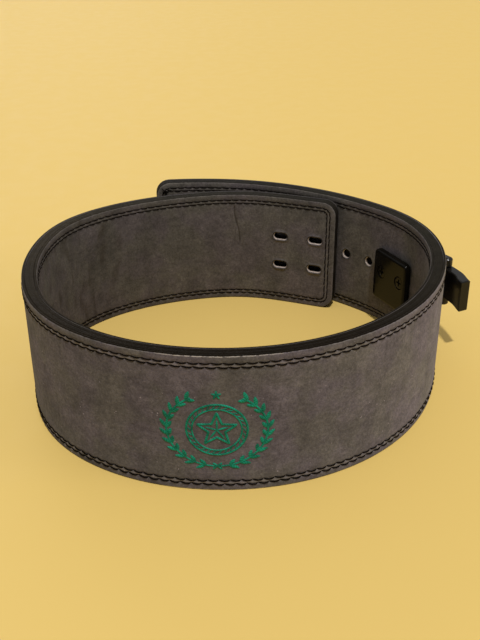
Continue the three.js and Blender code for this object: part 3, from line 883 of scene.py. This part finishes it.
# The knotted ends of the inner seam, at the upper corner of the lever's end, in millimetres:
# distance back from the strap's end, below its upper edge, and out from the face.
KNOT_STRANDS = [
    [(5.1, 11.2, 0.2), (6.0, 9.2, 1.2), (7.2, 7.8, 1.8), (8.6, 8.8, 1.4), (9.3, 11.0, 0.4)],
    [(7.0, 8.0, 0.4), (9.5, 7.4, 1.1), (11.5, 6.4, 0.9), (13.2, 6.8, 0.3)],
    [(8.0, 8.6, 0.6), (6.4, 6.8, 1.5), (5.4, 5.4, 1.2), (4.6, 5.0, 0.6)],
    [(7.9, 9.4, 0.3), (6.6, 8.6, 1.3), (7.0, 7.2, 1.6), (8.4, 7.4, 1.3), (8.6, 9.0, 0.4)],
]


def knot(name, material):
    """Short curled thread ends, tied where the inner seam begins and ends."""
    points, maps, faces = [], [], []
    count = 0
    turns = np.radians(np.arange(THREAD_SIDES) * 360 / THREAD_SIDES)
    for strand in KNOT_STRANDS:
        rough = np.array(strand) * MM
        at = np.linspace(0, len(rough) - 1, 6 * len(rough))
        path = np.stack([np.interp(at, range(len(rough)), axis) for axis in rough.T], -1)
        for _ in range(4):
            path[1:-1] = (path[:-2] + 2 * path[1:-1] + path[2:]) / 4
        back, below, out = path.T
        spine = on_strap(STRAP_LENGTH - back, STRAP_HEIGHT / 2 - below, -(THICKNESS / 2 + out))
        run = np.gradient(spine, axis=0)
        run /= np.linalg.norm(run, axis=1)[:, None]
        up = np.cross(run, (0, 1, 0))
        up /= np.linalg.norm(up, axis=1)[:, None]
        over = np.cross(run, up)
        aside, aloft = np.cos(turns)[:, None], np.sin(turns)[:, None]
        rings = [
            middle + THREAD_WIDE[-1] * 0.5 * (aside * a + aloft * b)
            for middle, a, b in zip(spine[1:-1], up[1:-1], over[1:-1])
        ]
        points += [spine[:1], *rings, spine[-1:]]
        total = np.linspace(0, 1, len(spine)) * len(strand) * 2 * MM
        along = np.concatenate([total[:1], np.repeat(total[1:-1], THREAD_SIDES), total[-1:]])
        around = np.concatenate([[0], np.tile(np.arange(THREAD_SIDES), len(rings)), [0]])
        maps.append(np.column_stack([along, around * 0.5 * MM]))
        faces += tube_faces(len(rings), THREAD_SIDES, count)
        count += 2 + len(rings) * THREAD_SIDES
    return smooth_mesh(name, np.concatenate(points), faces, [material], "thread",
                       np.concatenate(maps))


# ---------------- the badge

def line(start, end, steps=8):
    return np.linspace(start, end, steps + 1)


def arc(centre, radius, from_degrees, to_degrees, steps=24):
    turns = np.radians(np.linspace(from_degrees, to_degrees, steps + 1))
    return np.stack([np.cos(turns), np.sin(turns)], -1) * radius + centre


def star(centre, tip_radius, notch_radius):
    """A five-pointed star as a path that closes on itself and runs a little past its start."""
    turns = np.radians(90 + 36 * np.arange(11))
    radii = np.where(np.arange(11) % 2 == 0, tip_radius, notch_radius)
    path = np.stack([np.cos(turns), np.sin(turns)], -1) * radii[:, None] + centre
    return np.concatenate([path, path[:1] + 0.15 * (path[1:2] - path[:1])])


# The badge's parts in millimetres about its centre: the wreath's half width and half height, the
# roped ring's middle and its two radii, and the place of the small star.
WREATH = np.array([31.0, 27.0])
MEDAL_CENTRE = (0.0, 0.5)
ROPE_RADII = (18.6, 15.2)
SMALL_STAR = (0, 26.0)
# Each pair of leaves on a branch: how far they lean from it, and their lengths.
LEAVES = ((34, 6.8), (-36, 5.8))


def badge_strokes():
    """The badge's strokes: points, widest width, and whether the stroke is a leaf, which tapers at
    both ends. A laurel wreath is laid round a star in a roped ring."""
    strokes = []
    for side in (-1, 1):
        branch = arc((0, 0), 1.0, -90 + side * 3, -90 + side * 150, 40) * WREATH
        strokes.append((branch, 1.5, False))
        for k in range(11):
            turn = math.radians(-90 + side * (13 + 13 * k))
            root = np.array([math.cos(turn), math.sin(turn)]) * WREATH
            for lean, size in LEAVES:
                direction = turn + side * math.radians(90 - lean)
                tip = root + size * np.array([math.cos(direction), math.sin(direction)])
                strokes.append((line(root, tip, 7), 3.0, True))
        tie = line((side * 2.8, -24.6), (-side * 2.8, -29.2), 6)
        strokes.append((tie, 1.6, False))
    outer, inner = ROPE_RADII
    strokes.append((arc(MEDAL_CENTRE, outer, 90, 455, 60), 1.6, False))
    strokes.append((arc(MEDAL_CENTRE, inner, 90, 455, 50), 1.2, False))
    for turn in np.radians(np.arange(0, 360, 12)):
        ends = [np.array([math.cos(turn + lean), math.sin(turn + lean)]) * radius + MEDAL_CENTRE
                for lean, radius in ((0.07, inner + 0.7), (-0.07, outer - 0.9))]
        strokes.append((line(*ends, 5), 0.9, True))
    strokes.append((star(MEDAL_CENTRE, 12.4, 5.4), 1.8, False))
    for k in range(5):
        turn = math.radians(90 + 72 * k)
        tip = np.array([math.cos(turn), math.sin(turn)])
        strokes.append((line(np.array(MEDAL_CENTRE), tip * 7.4 + MEDAL_CENTRE, 6), 1.5, True))
        strokes.append((line(SMALL_STAR, tip * 3.2 + SMALL_STAR, 5), 1.7, True))
    return strokes


# The satin stitches, in millimetres: how far apart the threads lie, the points across a stroke, how
# far alternate threads stand up, and how high a stroke stands at its thinnest and its widest.
SATIN_STEP = 0.42
SATIN_COLUMNS = 5
SATIN_RIDGE = 0.07
SATIN_LOW, SATIN_GAIN, SATIN_SUNK = 0.42, 0.25, 0.12
SATIN_SLANT = 0.35


def badge(name, material):
    """Satin stitches: each stroke is a low rounded ridge of threads laid across it."""
    columns = SATIN_COLUMNS
    across_shares = np.linspace(-1, 1, columns)
    points, maps, faces = [], [], []
    count = 0
    for path, width, leaf in badge_strokes():
        path, length = resampled(path, SATIN_STEP / 2)
        run = np.gradient(path, axis=0)
        run /= np.hypot(*run.T)[:, None]
        across = np.stack([-run[:, 1], run[:, 0]], -1)
        shares = np.linspace(0, 1, len(path))
        if leaf:
            half = width / 2 * np.sin(math.pi * np.clip(shares * 0.94 + 0.03, 0, 1)) ** 0.75
        else:
            from_end = np.minimum(shares, 1 - shares) * length
            half = width / 2 * np.minimum(1, 0.35 + 4 * from_end / width / 2)
        ridge = SATIN_RIDGE * (np.arange(len(path)) % 2)
        height = SATIN_LOW + SATIN_GAIN * (half / half.max())
        rows = []
        for share in across_shares:
            slant = SATIN_SLANT * share * half
            place = path + across * (share * half)[:, None] + run * slant[:, None]
            crown = np.sqrt(np.clip(1 - share ** 2, 0, 1))
            rise = height * crown - SATIN_SUNK + ridge * (0.3 + crown)
            rows.append(np.column_stack([place, rise]))
        block = np.stack(rows, 1).reshape(-1, 3)
        points.append(block)
        along = np.repeat(shares * length, columns)
        maps.append(np.column_stack([np.tile(across_shares, len(path)) * 1.2, along]) * MM)
        for i in range(len(path) - 1):
            a = count + i * columns
            for j in range(columns - 1):
                faces.append((a + j, a + columns + j, a + columns + j + 1, a + j + 1))
        ends = (count, count + (len(path) - 1) * columns)
        faces.append(tuple(ends[0] + j for j in range(columns)))
        faces.append(tuple(ends[1] + j for j in reversed(range(columns))))
        count += len(block)
    s, z, rise = np.concatenate(points).T * MM
    placed = on_strap(BADGE_S + s, BADGE_Z + z, THICKNESS / 2 + rise)
    return smooth_mesh(name, placed, faces, [material], "thread", np.concatenate(maps))


# ---------------- the stage

FLOOR_COLOUR = (0.765, 0.545, 0.168)
FLOOR_SIZE = 20.0
ROOM_COLOUR = (0.97, 0.96, 0.95)
ROOM_LIGHT = 0.45
# Three suns: strength, colour, the direction that the light comes from, and how wide it is.
SUNS = {
    "key": (2.0, (1.0, 0.97, 0.93), (0.081, -0.382, 0.92), 3.5),
    "side": (0.5, (1.0, 0.96, 0.90), (1.7, -0.35, 0.45), 23),
    "back": (0.35, (1.0, 0.97, 0.94), (-0.5, 1.7, 0.75), 30),
}


def floor_material():
    """Smooth matt paint in the pale yellow of the photograph's surface."""
    m = Nodes("floor_paint")
    grain = m.noise(m.coordinates("Object"), 40, 3)
    m.link(m.remap(grain, 0.3, 0.7, 0.55, 0.65), m.shader.inputs["Roughness"])
    return m.finish(colour=(*FLOOR_COLOUR, 1), specular=0.15)


def make_floor():
    """A plain floor, which isn't part of the object."""
    mesh = bpy.data.meshes.new("floor")
    half = FLOOR_SIZE / 2
    mesh.from_pydata([(-half, -half, 0), (half, -half, 0), (half, half, 0), (-half, half, 0)],
                     [], [(0, 1, 2, 3)])
    mesh.materials.append(floor_material())
    placed_object("floor", mesh)


def make_lights():
    """A soft sun from high in front, weak wide ones from beside and behind, and the room."""
    for name, (strength, colour, place, degrees) in SUNS.items():
        lamp = bpy.data.lights.new(name, "SUN")
        lamp.energy = strength
        lamp.color = colour
        lamp.angle = math.radians(degrees)
        made = placed_object(name, lamp)
        made.location = place
        made.rotation_euler = (-Vector(place)).to_track_quat("-Z", "Y").to_euler()
    world = bpy.data.worlds.new("studio")
    bpy.context.scene.world = world
    world.use_nodes = True
    background = world.node_tree.nodes["Background"]
    background.inputs["Color"].default_value = (*ROOM_COLOUR, 1)
    background.inputs["Strength"].default_value = ROOM_LIGHT


# The camera, as found from the photograph: its place, its tilt and roll, and its focal length in
# pixels of a frame 640 pixels high.
CAMERA_PLACE = (-11.8 * MM, -620.1 * MM, 363.6 * MM)
CAMERA_DOWN = 27.68
CAMERA_ROLL = -0.44
FOCAL_PIXELS = 888
FRAME_PIXELS = 640
SENSOR = 36.0


def make_camera():
    """The photograph's camera."""
    data = bpy.data.cameras.new("camera")
    data.sensor_width = SENSOR
    data.lens = FOCAL_PIXELS / FRAME_PIXELS * SENSOR
    data.clip_start = 0.01
    camera = placed_object("camera", data)
    tilt = Matrix.Rotation(math.radians(90 - CAMERA_DOWN), 4, "X")
    roll = Matrix.Rotation(math.radians(CAMERA_ROLL), 4, "Z")
    camera.matrix_world = Matrix.Translation(CAMERA_PLACE) @ tilt @ roll
    bpy.context.scene.camera = camera


# ---------------- putting it together

def finish_piece(piece, body, slot_name, *nodes):
    """Makes a piece ride on its body and lets it stand for its nodes; slot_name is not used."""
    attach(piece, body)
    if nodes:
        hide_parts(*nodes)


WELD_DISTANCE = 0.005 * MM
EASING_STEPS = 3
SHARP_DEGREES = 30


def eased(node_name, material, width):
    """A steel part's own solid with its sharp edges rounded, as a coated part's are."""
    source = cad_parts[node_name]
    mesh = source.data.copy()
    mesh.name = node_name + "_eased"
    mesh.materials.clear()
    mesh.materials.append(material)
    mesh.polygons.foreach_set("material_index", [0] * len(mesh.polygons))
    mesh.polygons.foreach_set("use_smooth", [True] * len(mesh.polygons))
    made = placed_object(node_name + "_eased", mesh)
    weld = made.modifiers.new("weld", "WELD")
    weld.merge_threshold = WELD_DISTANCE
    bevel = made.modifiers.new("ease", "BEVEL")
    bevel.width = width
    bevel.segments = EASING_STEPS
    bevel.limit_method = "ANGLE"
    bevel.angle_limit = math.radians(SHARP_DEGREES)
    normals = made.modifiers.new("normals", "WEIGHTED_NORMAL")
    normals.weight = 100
    normals.keep_sharp = True
    return made


make_camera()
make_lights()
make_floor()
bpy.context.scene.view_settings.view_transform = "Standard"

outer_nap = suede_material("outer_nap", OUTER_OLIVE, OUTER_PURPLE, OUTER_BRUSHING_AND_SHEEN, folded=False)
inner_nap = suede_material("inner_nap", INNER_OLIVE, INNER_PURPLE, INNER_NAP_LIGHTNESS, folded=True)
cut_suede = cut_leather_material("cut_suede", (0.28, 0.23, 0.20), (0.56, 0.48, 0.43))
# The cut in the openings is made nearly black: painted shade deep inside them, over tan leather.
cut_painted_shade = cut_leather_material("cut_painted_shade", (0.002, 0.001, 0.0008),
                                    (0.007, 0.0035, 0.0025))
edge_paint = painted_edge_material()
black_thread = thread_material("black_thread", (0.0024, 0.0014, 0.0010),
                               (0.0060, 0.0038, 0.0028), 0.6, 0.03)
green_thread = thread_material("green_thread", (0.002, 0.11, 0.068), (0.005, 0.24, 0.155),
                               0.55, 0.15)

finish_piece(facing("outer_facing", 1, [outer_nap, cut_painted_shade, edge_paint]), "belt",
             "suede_leather", "outer_suede")
finish_piece(facing("inner_facing", -1, [inner_nap, cut_suede, edge_paint], folds,
                    crease_points()), "belt", "suede_leather", "inner_suede")
finish_piece(core("core_edge", [edge_paint, cut_painted_shade]), "belt", "edge_leather", "leather_core")
finish_piece(seam("outer_seam", 1, black_thread), "belt", "edge_leather")
finish_piece(seam("inner_seam", -1, black_thread), "belt", "edge_leather")
finish_piece(knot("inner_knot", black_thread), "belt", "edge_leather")
finish_piece(badge("badge", green_thread), "belt", "suede_leather")

plate_black = black_steel_material("gloss_black", (0.0035, 0.003, 0.002), 0.14, 0.12, 0.04)
screw_black = black_steel_material("screw_black", (0.0035, 0.003, 0.002), 0.14, 0.13, 0.1)
handle_black = black_steel_material("handle_black", (0.006, 0.0056, 0.005), 0.24, 0.25, 0.06)
fitting_black = black_steel_material("fitting_black", (0.006, 0.0056, 0.0052), 0.28, 0.35, 0.08)

# The steel parts with their edges eased: body, material, and the width of the easing.
STEEL_PARTS = {
    "back_plate": ("belt", plate_black, 0.15 * MM),
    "screw_front": ("belt", screw_black, 0.12 * MM),
    "screw_rear": ("belt", screw_black, 0.12 * MM),
    "base_bracket": ("belt", fitting_black, 0.35 * MM),
    "lever_pin": ("belt", fitting_black, 0.25 * MM),
    "lever_handle": ("lever", handle_black, 0.5 * MM),
    "hook_pin": ("lever", fitting_black, 0.25 * MM),
    "hook_yoke": ("hook", fitting_black, 0.4 * MM),
}
for node_name, (body_name, material, easing) in STEEL_PARTS.items():
    finish_piece(eased(node_name, material, easing), body_name, "black_steel", node_name)
